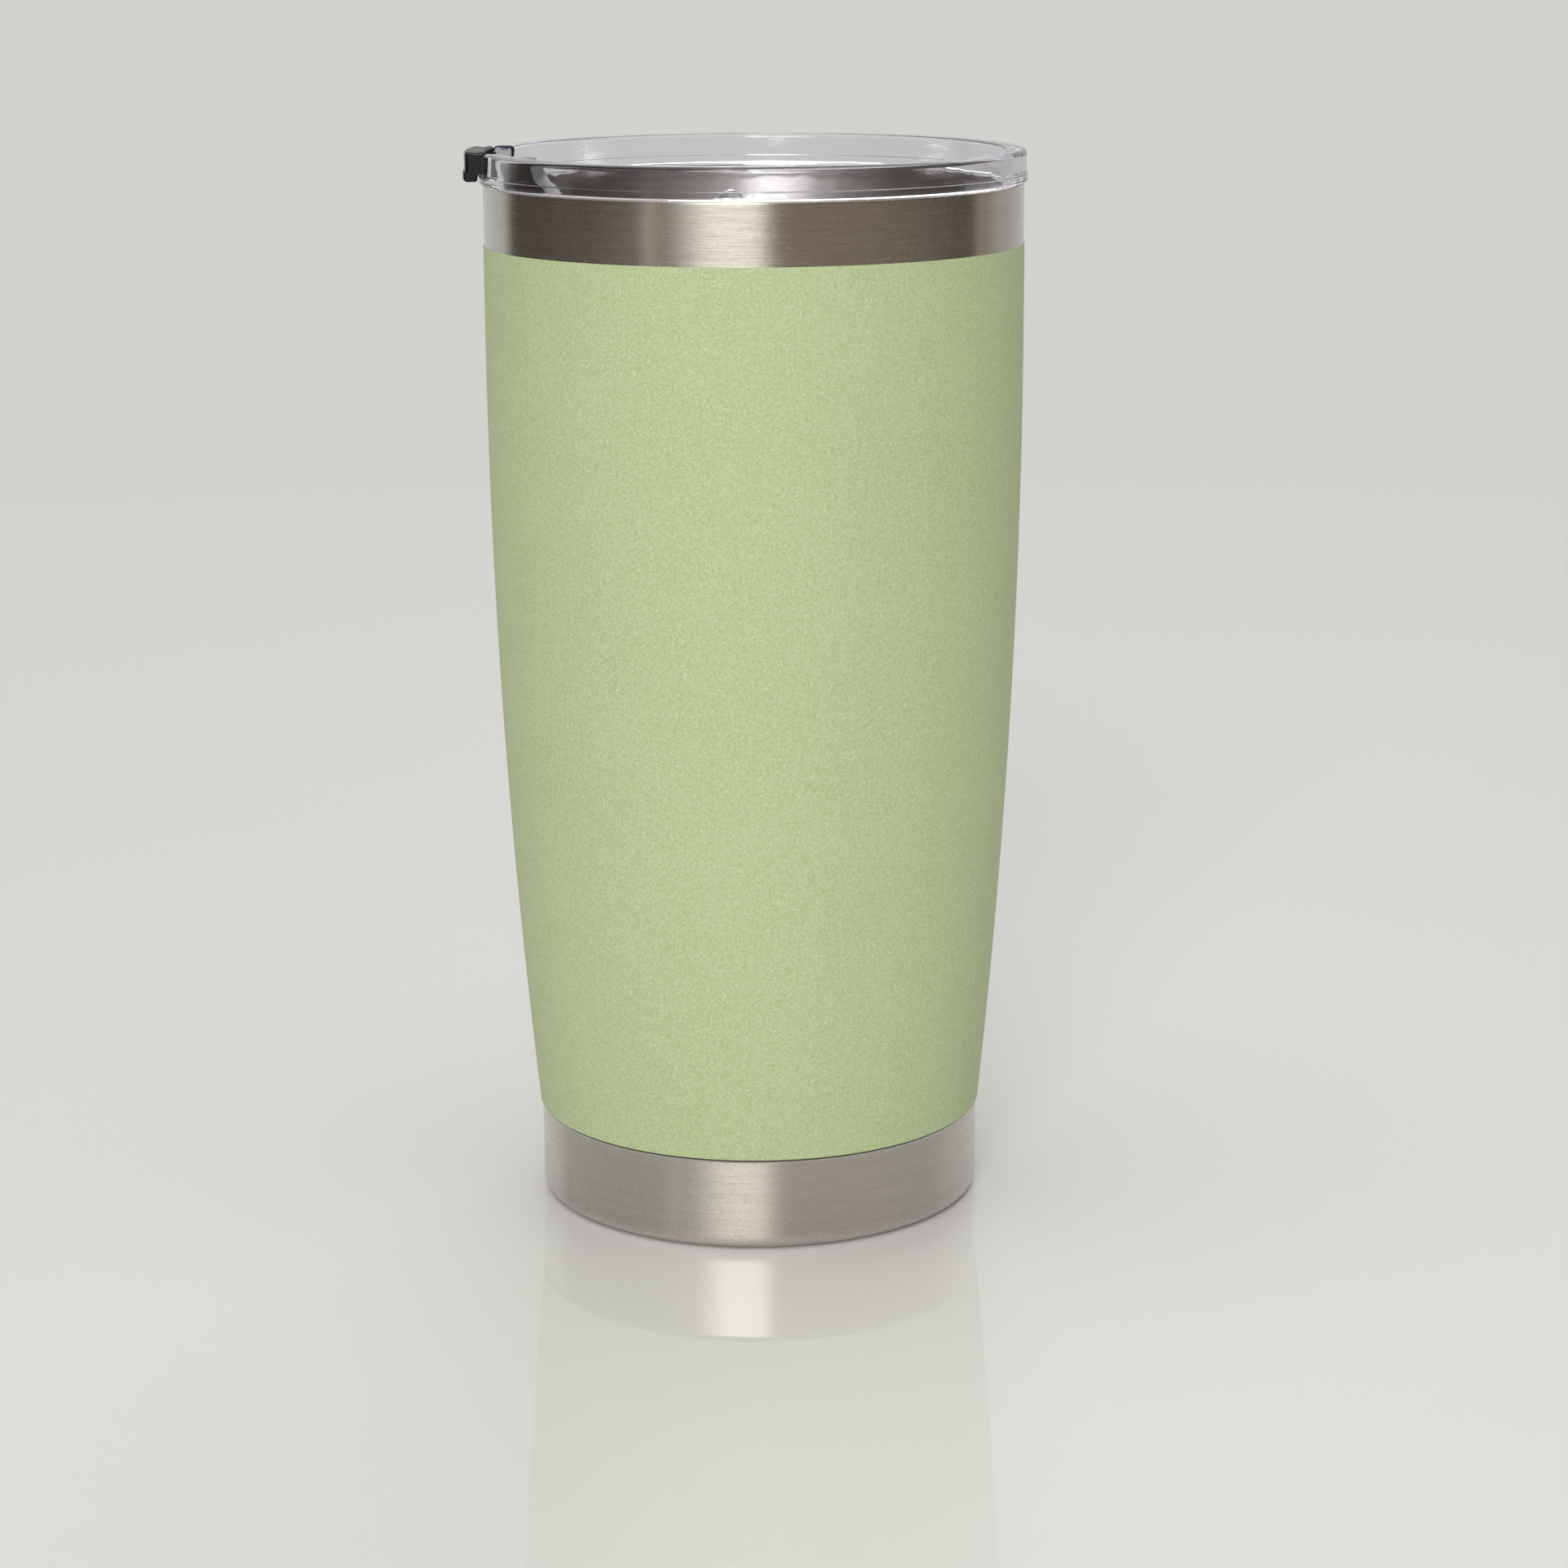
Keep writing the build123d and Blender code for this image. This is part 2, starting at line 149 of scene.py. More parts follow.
class Maker:
    # a node tree being written; add makes any node: its settings first, then its sockets, and it
    # gives back one output, or a list when out is a tuple
    def __init__(self, tree):
        self.tree = tree
        tree.nodes.clear()

    def add(self, kind, settings=None, sockets=None, out=0):
        node = self.tree.nodes.new(kind)
        for key, value in (settings or {}).items():
            if key == "stops":
                self.fillRamp(node.color_ramp, value)
            else:
                setattr(node, key, value)
        for key, value in (sockets or {}).items():
            if isinstance(value, Wire):
                self.tree.links.new(value.socket, node.inputs[key])
            else:
                node.inputs[key].default_value = value
        if isinstance(out, tuple):
            return [Wire(self, node.outputs[key]) for key in out]
        return Wire(self, node.outputs[out]) if len(node.outputs) else None

    def fillRamp(self, ramp, stops):
        while len(ramp.elements) < len(stops):
            ramp.elements.new(1)
        for element, (position, colour) in zip(ramp.elements, stops):
            element.position = position
            element.color = (*colour, 1) if len(colour) == 3 else colour

    def blend(self, factor, first, second):
        # colour between first and second; a Mix node's colour sockets are its 6th and 7th
        sockets = {0: factor, 6: fourOf(first), 7: fourOf(second)}
        return self.add("ShaderNodeMix", {"data_type": "RGBA"}, sockets, out=2)

    def place(self):
        # the Object coordinates
        return self.add("ShaderNodeTexCoord", out=3)

    def axes(self, vector):
        return self.add("ShaderNodeSeparateXYZ", None, {0: vector}, out=(0, 1, 2))

    def vector(self, x, y, z):
        return self.add("ShaderNodeCombineXYZ", None, {0: x, 1: y, 2: z})

    def noise(self, vector, scale, detail=2, roughness=0.5):
        sockets = {"Vector": vector, "Scale": scale, "Detail": detail, "Roughness": roughness}
        return self.add("ShaderNodeTexNoise", None, sockets)

    def ramp(self, value, low, high):
        # 0 below low, 1 above high, straight between
        sockets = {"Value": value, "From Min": low, "From Max": high}
        return self.add("ShaderNodeMapRange", {"clamp": True}, sockets)

    def bump(self, height, strength, distance):
        sockets = {"Height": height, "Strength": strength, "Distance": distance}
        return self.add("ShaderNodeBump", None, sockets)


def fourOf(colour):
    # a colour with its alpha; a wire is left as it is
    if isinstance(colour, Wire) or len(colour) == 4:
        return colour
    return (*colour, 1)


def finishOf(name, build, inside=None):
    # a material whose surface is one Principled shader; build gives its sockets, and inside what
    # the body of a clear piece absorbs
    material = bpy.data.materials.new(name)
    material.use_nodes = True
    maker = Maker(material.node_tree)
    sockets = {key: fourOf(value) if key == "Base Color" else value
               for key, value in build(maker).items()}
    ends = {"Surface": maker.add("ShaderNodeBsdfPrincipled", None, sockets)}
    if inside:
        ends["Volume"] = maker.add("ShaderNodeVolumeAbsorption", None, inside)
    maker.add("ShaderNodeOutputMaterial", None, ends)
    return material


def latheLines(maker, across, along):
    # streaks that run round the axis: slow in x and y, fast in height and radius together
    x, y, z = maker.axes(maker.place())
    radius = (x * x + y * y) ** 0.5
    return maker.vector(x * along, y * along, (z + radius) * across)


# finishes
steelLook = {
    # edge is the colour of the painted shade line under the coat's lower edge
    "light": (0.685, 0.652, 0.622), "dark": (0.56, 0.532, 0.507), "edge": (0.07, 0.06, 0.05),
    "roughness": 0.25, "streak": 0.12, "smudge": 0.05, "anisotropy": 0.92,
    "across": 6500, "along": 120, "bump": 0.06, "depth": 0.00002,
    "baseExtra": 0.035,      # the band at the foot is brushed a little more coarsely
    # thin dark line along the coat's lower edge; its cause is a guess
    "edgeLine": 0.45 * mm,   # painted shade: a thin dark line just under the coat's lower edge, on the step
    "grain": 2600, "grit": 0.07,
}


def turnedSteel(name, look, **change):
    # fine lathe lines over coarser ones, with a little grit and a painted shade line under the coat; change
    # replaces values of the look
    look = {**look, **change}

    def build(maker):
        fine = maker.noise(latheLines(maker, look["across"], look["along"]), 1, 3, 0.65)
        coarse = maker.noise(latheLines(maker, look["across"] / 7, look["along"] / 2), 1, 2, 0.5)
        smudge = maker.noise(maker.place(), 34, 3, 0.55)
        height = maker.axes(maker.place())[2]
        edge = place["coatBottom"]
        foot = 1 - maker.ramp(height, edge - mm, edge)
        # line is painted shade: a thin dark band on the steel just under the coat's lower edge
        line = maker.ramp(height, edge - look["edgeLine"], edge - look["edgeLine"] * 0.6)
        line = line * (1 - maker.ramp(height, edge + 0.1 * mm, edge + 0.2 * mm))
        grit = maker.noise(maker.place(), look["grain"], 2, 0.6)
        rough = look["roughness"] + foot * look["baseExtra"]
        rough = rough + (fine - 0.5) * look["streak"] + (smudge - 0.5) * look["smudge"]
        rough = rough + (grit - 0.5) * look["grit"]
        tone = maker.ramp(fine * 0.5 + coarse * 0.28 + grit * 0.22, 0.33, 0.67)
        metal = maker.blend(tone, look["dark"], look["light"])
        return {
            # the steel's colour, darkened by the painted shade line
            "Base Color": maker.blend(line * 0.9, metal, look["edge"]),
            "Metallic": 1.0,
            "Roughness": rough,
            "Anisotropic": look["anisotropy"],
            "Anisotropic Rotation": 0.25,        # spreads highlights across the brush lines
            "Normal": maker.bump(fine * 0.7 + coarse * 0.3, look["bump"], look["depth"]),
        }
    return finishOf(name, build)


coatLook = {
    "colour": (0.500, 0.592, 0.332), "shade": (0.425, 0.520, 0.262), "pale": (0.690, 0.760, 0.540),
    "roughness": 0.52, "grain": 3000, "pebble": 2100, "cloud": 60, "sparkle": 0.75,
    "bump": 1.0, "depth": 0.00008,
}


def powderPaint(name, look):
    # pebbled paint with pale specks
    def build(maker):
        here = maker.place()
        grain = maker.noise(here, look["grain"], 2, 0.6)
        pebble = maker.noise(here, look["pebble"], 2, 0.5)
        cloud = maker.noise(here, look["cloud"], 3, 0.5)
        speck = maker.ramp(grain, 0.56, 0.72)
        tone = maker.blend(maker.ramp(pebble * 0.88 + cloud * 0.12, 0.36, 0.58),
                           look["shade"], look["colour"])
        return {
            "Base Color": maker.blend(speck * look["sparkle"], tone, look["pale"]),
            "Roughness": look["roughness"] + (grain - 0.5) * 0.22 + (cloud - 0.5) * 0.05,
            "Specular IOR Level": 0.45,
            "Normal": maker.bump(grain * 0.6 + pebble * 0.4, look["bump"], look["depth"]),
        }
    return finishOf(name, build)


clearLook = {
    "tint": (0.974, 0.971, 0.99), "cloud": (0.96, 0.96, 0.97), "ior": 1.57,
    "roughness": 0.02, "scuff": 0.05, "depthTint": (0.66, 0.61, 0.87), "depth": 18.0,
    "wave": 0.0002,
}


def clearPlastic(name, look):
    # clear on thin walls, violet grey where light runs a long way inside it
    def build(maker):
        here = maker.place()
        cloud = maker.noise(here, 130, 2, 0.5)
        scuff = maker.noise(here, 900, 3, 0.7)
        return {
            "Base Color": maker.blend(maker.ramp(cloud, 0.35, 0.7), look["tint"], look["cloud"]),
            "Roughness": look["roughness"] + maker.ramp(scuff, 0.55, 0.8) * look["scuff"],
            "IOR": look["ior"],
            "Transmission Weight": 1.0,
            "Normal": maker.bump(cloud, 0.4, look["wave"]),
        }
    return finishOf(name, build, {"Color": fourOf(look["depthTint"]), "Density": look["depth"]})


blackLook = {
    "colour": (0.0060, 0.0052, 0.0090), "pale": (0.0115, 0.0105, 0.0150),
    "roughness": 0.31, "shine": 0.36, "spark": 2600, "bump": 0.35, "depth": 0.00003,
}


def mouldedPlastic(name, look):
    # fine spark texture, a little paler where it is worn
    def build(maker):
        here = maker.place()
        spark = maker.noise(here, look["spark"], 2, 0.6)
        wear = maker.noise(here, 120, 3, 0.6)
        return {
            "Base Color": maker.blend(maker.ramp(wear, 0.4, 0.75), look["colour"], look["pale"]),
            "Roughness": look["roughness"] + (spark - 0.5) * 0.18 + (wear - 0.5) * 0.12,
            "Specular IOR Level": look["shine"],
            "Normal": maker.bump(spark, look["bump"], look["depth"]),
        }
    return finishOf(name, build)


def siliconeRubber(name, colour, dusty, clear):
    # a soft sheen with specks of dust; clear is how much light it lets through
    def build(maker):
        here = maker.place()
        dust = maker.noise(here, 1500, 3, 0.7)
        haze = maker.noise(here, 80, 2, 0.5)
        return {
            "Base Color": maker.blend(maker.ramp(dust, 0.6, 0.8), colour, dusty),
            "Roughness": 0.46 + (haze - 0.5) * 0.16,
            "Transmission Weight": clear,
            "IOR": 1.43,
            "Normal": maker.bump(haze, 0.1, 0.0001),
        }
    return finishOf(name, build)


def crinkledFoil(name):
    # bright metal whose creases scatter
    def build(maker):
        here = maker.place()
        crease = maker.noise(here, 260, 4, 0.7)
        return {
            "Base Color": maker.blend(crease, (0.70, 0.70, 0.71), (0.90, 0.90, 0.91)),
            "Metallic": 1.0,
            "Roughness": 0.16 + crease * 0.14,
            "Normal": maker.bump(crease, 0.5, 0.0004),
        }
    return finishOf(name, build)


def sintered(name, dark, light, roughness):
    # a fine grained solid between two colours
    def build(maker):
        grit = maker.noise(maker.place(), 1900, 3, 0.7)
        return {
            "Base Color": maker.blend(grit, dark, light),
            "Roughness": roughness + (grit - 0.5) * 0.2,
            "Normal": maker.bump(grit, 0.6, 0.0001),
        }
    return finishOf(name, build)


finish = {
    "bandSteel": turnedSteel("bandSteel", steelLook),
    # the inside's steel is a darker copy of the band's steel: its darker colour is painted shade for the inside of
    # the mug
    "vesselSteel": turnedSteel("vesselSteel", steelLook, roughness=0.50, anisotropy=0.4,
                               light=(0.475, 0.468, 0.460), dark=(0.375, 0.368, 0.362)),
    "sheetSteel": turnedSteel("sheetSteel", steelLook, roughness=0.36, anisotropy=0.2,
                              across=900, along=900),
    "pinSteel": turnedSteel("pinSteel", steelLook, roughness=0.2, anisotropy=0.3),
    "powderPaint": powderPaint("powderPaint", coatLook),
    "clearPlastic": clearPlastic("clearPlastic", clearLook),
    "blackPlastic": mouldedPlastic("blackPlastic", blackLook),
    "blackSilicone": siliconeRubber("blackSilicone", (0.018, 0.018, 0.02), (0.05, 0.05, 0.052), 0.0),
    "sealSilicone": siliconeRubber("sealSilicone", (0.70, 0.71, 0.73), (0.80, 0.80, 0.81), 0.35),
    "foil": crinkledFoil("foil"),
    "getterPowder": sintered("getterPowder", (0.03, 0.03, 0.034), (0.10, 0.10, 0.11), 0.7),
    "solderGlass": sintered("solderGlass", (0.045, 0.04, 0.032), (0.09, 0.085, 0.07), 0.22),
    "glue": sintered("glue", (0.52, 0.47, 0.33), (0.62, 0.58, 0.45), 0.55),
}
print("finishes made:", len(finish))


# meshes
def gridMesh(name, points, wrapRows, wrapColumns, capped=False):
    # quads between neighbouring points of a grid; a wrapped direction joins its end to its start
    rows, columns = points.shape[:2]
    index = np.arange(rows * columns).reshape(rows, columns)
    if wrapRows:
        index = np.concatenate([index, index[:1]])
    if wrapColumns:
        index = np.concatenate([index, index[:, :1]], axis=1)
    quads = np.stack([index[:-1, :-1], index[1:, :-1], index[1:, 1:], index[:-1, 1:]], axis=-1)
    quads = quads.reshape(-1, 4).astype(np.int32)
    mesh = bpy.data.meshes.new(name)
    mesh.vertices.add(rows * columns)
    mesh.vertices.foreach_set("co", points.astype(np.float32).ravel())
    mesh.loops.add(quads.size)
    mesh.loops.foreach_set("vertex_index", quads.ravel())
    mesh.polygons.add(len(quads))
    mesh.polygons.foreach_set("loop_start", np.arange(0, quads.size, 4, dtype=np.int32))
    mesh.update(calc_edges=True)
    tidyMesh(mesh, [range(columns), range((rows - 1) * columns, rows * columns)] if capped else [])
    return mesh


def tidyMesh(mesh, caps=()):
    # closes the ends that are named, merges doubled points and turns every face outwards
    work = bmesh.new()
    work.from_mesh(mesh)
    work.verts.ensure_lookup_table()
    for cap in caps:
        work.faces.new([work.verts[i] for i in cap])
    bmesh.ops.remove_doubles(work, verts=work.verts, dist=2e-7)
    bmesh.ops.dissolve_degenerate(work, edges=work.edges, dist=2e-7)
    bmesh.ops.delete(work, geom=[e for e in work.edges if e.is_wire], context="EDGES")
    rims = [v for v in work.verts if v.is_boundary]
    bmesh.ops.remove_doubles(work, verts=rims, dist=3e-5)     # zips up hair-wide gaps
    bmesh.ops.recalc_face_normals(work, faces=work.faces)
    work.to_mesh(mesh)
    work.free()


def showPiece(mesh, body, look, nodes=(), crease=38):
    # puts a mesh in the scene on its body; edges sharper than crease degrees stay sharp
    piece = bpy.data.objects.new(mesh.name, mesh)
    bpy.context.scene.collection.objects.link(piece)
    mesh.materials.clear()
    mesh.materials.append(finish[look])
    mesh.shade_smooth()
    mesh.set_sharp_from_angle(angle=radians(crease))
    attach(piece, body)
    if nodes:
        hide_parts(*nodes)
    return piece


def roundedOutline(corners, closed=True, steps=6):
    # corners are rows of (across, up, rounding); each rounding is an arc that meets both runs at
    # rounding / tan(half the inner angle) from the corner, or just short of half of the shorter
    # run, and a holding point stands a little beyond each of its ends
    corners = np.array(corners, float)
    count = len(corners)
    rows = []
    for i in range(count):
        here, rounding = corners[i, :2], corners[i, 2]
        if rounding == 0 or (not closed and i in (0, count - 1)):
            rows.append(here[None])
            continue
        before = corners[i - 1, :2] - here
        after = corners[(i + 1) % count, :2] - here
        runs = np.linalg.norm(before), np.linalg.norm(after)
        before, after = before / runs[0], after / runs[1]
        half = np.arccos(np.clip(before @ after, -1, 1)) / 2
        reach = min(rounding / np.tan(half), 0.49 * min(runs))
        rounding = reach * np.tan(half)
        middle = here + (before + after) / np.linalg.norm(before + after) * rounding / np.sin(half)
        start, end = here + before * reach - middle, here + after * reach - middle
        turn = pi - 2 * half
        t = np.linspace(0, 1, steps)[:, None]
        arc = (np.sin((1 - t) * turn) * start + np.sin(t * turn) * end) / np.sin(turn)
        hold = [max(reach, min(reach * 1.35, runs[k] * 0.48)) for k in (0, 1)]
        rows.append(np.vstack([here + before * hold[0], middle + arc, here + after * hold[1]]))
    return np.vstack(rows)


def turnedMesh(name, outline, sides=256, closed=True):
    # an outline of (radius, height) turned about the mug's axis: x = r cos a, y = r sin a
    angle = np.arange(sides) * 2 * pi / sides
    radius, height = outline.T
    points = np.stack([np.outer(np.cos(angle), radius), np.outer(np.sin(angle), radius),
                       np.broadcast_to(height, (sides, len(height)))], axis=-1)
    return gridMesh(name, points, True, closed)


def outwardNormals(outline):
    # unit normals of a closed outline, from the run between each point's neighbours
    along = np.roll(outline, -1, 0) - np.roll(outline, 1, 0)
    normal = np.stack([along[:, 1], -along[:, 0]], 1)
    normal /= np.maximum(np.linalg.norm(normal, axis=1, keepdims=True), 1e-12)
    x, y = outline.T
    area = np.sum(x * np.roll(y, -1) - np.roll(x, -1) * y)
    return normal * np.sign(area)


def slabPoints(outline, half, edge, steps=6, across=9):
    # a closed outline carried across its own plane from -half to half; near each end it is drawn
    # in by edge * (1 - cos t) while it still travels edge * sin t, which rounds the long edges,
    # and one more row, drawn in a little further, keeps the flat end flat
    t = np.linspace(0, pi / 2, steps)
    inset = np.append(edge * (1 - np.cos(t)), edge * 1.15)
    travel = np.append(half - edge + edge * np.sin(t), half)
    middle = np.linspace(-half + edge, half - edge, across)[1:-1]
    station = np.concatenate([-travel[::-1], middle, travel])
    drawn = np.concatenate([inset[::-1], np.zeros(len(middle)), inset])
    normal = outwardNormals(outline)
    plane = outline[None] - drawn[:, None, None] * normal[None]
    return plane, station


def carve(target, tools, operation):
    # exact union or difference with other meshes, kept as target's new mesh
    base = bpy.data.objects.new("carved", target)
    bpy.context.scene.collection.objects.link(base)
    helpers = []
    for mesh in tools:
        helper = bpy.data.objects.new("tool", mesh)
        bpy.context.scene.collection.objects.link(helper)
        cut = base.modifiers.new("cut", "BOOLEAN")
        cut.operation = operation
        cut.solver = "EXACT"
        cut.object = helper
        helpers.append(helper)
    graph = bpy.context.evaluated_depsgraph_get()
    made = bpy.data.meshes.new_from_object(base.evaluated_get(graph))
    name = target.name
    for item in helpers + [base]:
        bpy.data.objects.remove(item)
    for mesh in tools + [target]:
        bpy.data.meshes.remove(mesh)
    made.name = name
    tidyMesh(made)
    return made


# steel body
shell = {
    "wall": 0.7 * mm, "waist": 37.15 * mm, "straight": 23.9 * mm, "step": 0.6 * mm,
    "foot": 2.0 * mm, "legInner": 31.7 * mm, "legTop": 4.6 * mm, "lipRound": 0.34 * mm,
    "curveRows": 70, "coat": 0.12 * mm, "coatRound": 0.055 * mm, "bury": 0.03 * mm,
    "legRound": 0.65 * mm, "bendRound": 0.2 * mm, "stepRound": 0.25 * mm, "seamRound": 0.1 * mm,
}
curveTop = place["lip"] - shell["straight"]
curveDrop = place["bodyRadius"] - shell["waist"]
curveRadius = ((curveTop - place["coatBottom"]) ** 2 + curveDrop ** 2) / (2 * curveDrop)


def sideRadius(height):
    # circle arc, tangent to the straight side at curveTop
    below = np.maximum(curveTop - height, 0)
    return place["bodyRadius"] - curveRadius + np.sqrt(curveRadius ** 2 - below ** 2)


def sideRows(inset, start, end):
    # corners without rounding down or up the side, moved inwards by inset
    height = np.linspace(start, end, shell["curveRows"])
    return np.stack([sideRadius(height) - inset, height, np.zeros_like(height)], 1)


def steelShell():
    # turned outline: lip, straight side, arc down to the step under the coat, foot, the leg that
    # the foot stands on, and back up the inside at the wall's thickness
    body, band, wall = place["bodyRadius"], place["bandRadius"], shell["wall"]
    bottom, lip = place["coatBottom"], place["lip"]
    leg = shell["legInner"]
    corners = np.vstack([
        [(body - wall, lip, shell["seamRound"]), (body, lip, shell["lipRound"])],
        [(body, (lip + curveTop) / 2, 0)],
        sideRows(0, curveTop, bottom + 0.5 * mm),
        [(shell["waist"], bottom, shell["stepRound"])],
        [(band, bottom - shell["step"], shell["stepRound"])],
        [(band, bottom / 2, 0), (band, 0, shell["foot"]), (leg, 0, shell["legRound"])],
        [(leg, shell["legTop"], shell["bendRound"])],
        [(leg + wall, shell["legTop"], shell["bendRound"])],
        [(leg + wall, wall, shell["seamRound"]), (band - wall, wall, shell["foot"] - wall)],
        [(band - wall, bottom - shell["step"], 0)],
        sideRows(wall, bottom, curveTop),
    ])
    return turnedMesh("steelShell", roundedOutline(corners, steps=8), 320)


def coatSkin():
    # turned outline: down the steel's side at the coat's thickness outside it, and back up a
    # little inside it, so that no gap shows
    corners = np.vstack([
        sideRows(-shell["coat"], place["coatTop"], place["coatBottom"]),
        sideRows(shell["bury"], place["coatBottom"], place["coatTop"]),
    ])
    corners[[0, shell["curveRows"] - 1], 2] = shell["coatRound"]
    return turnedMesh("coatSkin", roundedOutline(corners, steps=5), 320)


showPiece(steelShell(), "cup", "bandSteel", ["outer_shell"])
showPiece(coatSkin(), "cup", "powderPaint", ["powder_coat"])
print("steel shell and coat made")


# inside of the mug
vessel = {
    "wall": 0.7 * mm, "inset": 4.9 * mm, "mouthDepth": 2.5 * mm, "mouthTaper": 4.0 * mm,
    "seat": 40.9 * mm, "seatDepth": 11.0 * mm, "runout": 6.4 * mm, "runIn": 3 * mm, "soft": 1.2 * mm,
    "floor": 9.5 * mm, "corner": 6.0 * mm, "dish": 0.5 * mm,
}


def vesselRows(grow, lipRound):
    # the wall's corners from the lip down to the welded joint, moved outwards by grow
    mouth = place["bodyRadius"] - shell["wall"] - vessel["wall"]
    lip = place["lip"]
    taper = lip - vessel["mouthDepth"]
    seatTop = taper - vessel["mouthTaper"]
    seatEnd = seatTop - vessel["seatDepth"]
    run = seatEnd - vessel["runout"]
    soft = vessel["soft"]
    inset = vessel["inset"] - grow
    return np.vstack([
        [(mouth + grow, lip, lipRound), (mouth + grow, taper, soft)],
        [(vessel["seat"] + grow, seatTop, soft), (vessel["seat"] + grow, seatEnd, soft)],
        [(sideRadius(run) - inset, run, soft)],
        sideRows(inset, run - vessel["runIn"], place["vesselJoint"]),
    ])


def vesselWall():
    # turned outline: the inner face down, and the outer face, a wall further out, back up
    inner = vesselRows(0, shell["lipRound"])
    outer = vesselRows(vessel["wall"], shell["seamRound"])
    corners = np.vstack([inner, outer[::-1]])
    return turnedMesh("vesselWall", roundedOutline(corners, steps=7), 256)


def vesselCap():
    # turned outline of a pressed cap: a slightly domed floor, a round corner and a short wall, and
    # the same a wall further out
    radius = sideRadius(place["vesselJoint"]) - vessel["inset"]
    wall, floor, corner = vessel["wall"], vessel["floor"], vessel["corner"]
    corners = [
        (0, floor + vessel["dish"], 0), (radius * 0.45, floor + vessel["dish"] * 0.7, 0),
        (radius, floor, corner), (radius, place["vesselJoint"], 0),
        (radius + wall, place["vesselJoint"], 0), (radius + wall, floor - wall, corner + wall),
        (0, floor - wall, 0),
    ]
    return turnedMesh("vesselCap", roundedOutline(corners, closed=False, steps=14), 256)


showPiece(vesselWall(), "cup", "vesselSteel", ["inner_vessel"])
showPiece(vesselCap(), "cup", "vesselSteel", ["inner_bottom"])
print("vessel made")


# underside
base = {"wall": 0.7 * mm, "dish": 7.0 * mm, "rise": 1.2 * mm, "port": 1.0 * mm,
        "ring": 22.0 * mm, "ringDepth": 0.18 * mm, "ringHalf": 0.7 * mm}


def basePlate():
    # turned outline of a flat ring whose middle is pressed up into a dish round the port
    under, edge = lowOf("base_plate")[2], highOf("base_plate")[0]
    wall, dish, rise, port = (base[k] for k in ("wall", "dish", "rise", "port"))
    corners = [
        (edge, under, 0.1 * mm), (edge, under + wall, 0.1 * mm),
        (dish + wall, under + wall, 0.5 * mm), (dish + wall, under + wall + rise, 0.4 * mm),
        (port, under + wall + rise, 0.1 * mm), (port, under + rise, 0.1 * mm),
        (dish, under + rise, 0.4 * mm), (dish, under, 0.4 * mm),
    ]
    return turnedMesh("basePlate", roundedOutline(corners), 160)


def baseCover():
    # turned outline of a disc with a shallow ring pressed into its underside
    low, high = lowOf("base_cover"), highOf("base_cover")
    ring, half, deep = base["ring"], base["ringHalf"], base["ringDepth"]
    corners = [
        (0, high[2], 0), (high[0], high[2], 0.12 * mm), (high[0], low[2], 0.3 * mm),
        (ring + half, low[2], 0.4 * mm), (ring, low[2] + deep, 0.4 * mm),
        (ring - half, low[2], 0.4 * mm), (0, low[2], 0),
    ]
    return turnedMesh("baseCover", roundedOutline(corners, closed=False), 200)


showPiece(basePlate(), "cup", "sheetSteel", ["base_plate"])
showPiece(baseCover(), "cup", "bandSteel", ["base_cover"])
print("base made")


# clear lid
lid = {
    "stand": 5.15 * mm, "rimRadius": 44.1 * mm, "rimWall": 3.4 * mm, "rimRound": 0.7 * mm,
    "flange": 1.4 * mm, "flangeRound": 0.35 * mm, "spigot": 42.0 * mm, "spigotDepth": 1.2 * mm,
    "skirt": 40.0 * mm, "skirtCone": 4.6 * mm, "skirtWall": 1.4 * mm, "floorDepth": 8.4 * mm,
    "floorWall": 2.0 * mm, "grooveLand": 1.3 * mm, "grooveHeight": 3.4 * mm,
    "grooveDepth": 1.1 * mm, "capInner": 38.13 * mm, "notchSide": 1.8 * mm, "notchEase": 0.6 * mm,
    "sideSpan": (0.045, 0.055), "rowGap": 0.005, "seamGap": 0.02,      # angles, in radians
    "insideRows": 20, "edgeRows": 56, "restRows": 240,
    "sipLength": 14.0 * mm, "sipWidth": 7.0 * mm, "vent": 1.5 * mm, "pin": 1.0 * mm,
    "earRadius": 2.8 * mm, "earWall": 2.6 * mm, "earGap": 0.4 * mm, "earEdge": 0.35 * mm,
    "earSink": 0.5 * mm,
}
flangeUnder = place["rimTop"] - lid["stand"]
flangeTop = flangeUnder + lid["flange"]
lidFloor = flangeUnder - lid["floorDepth"]
recessRadius = lid["rimRadius"] - lid["rimWall"]
skirtInner = lid["skirt"] - lid["skirtWall"]
spigotEnd = place["lip"] - lid["spigotDepth"]
skirtTop = spigotEnd - lid["skirtCone"]
notchHalf = place["leverHalf"] + lid["notchSide"]


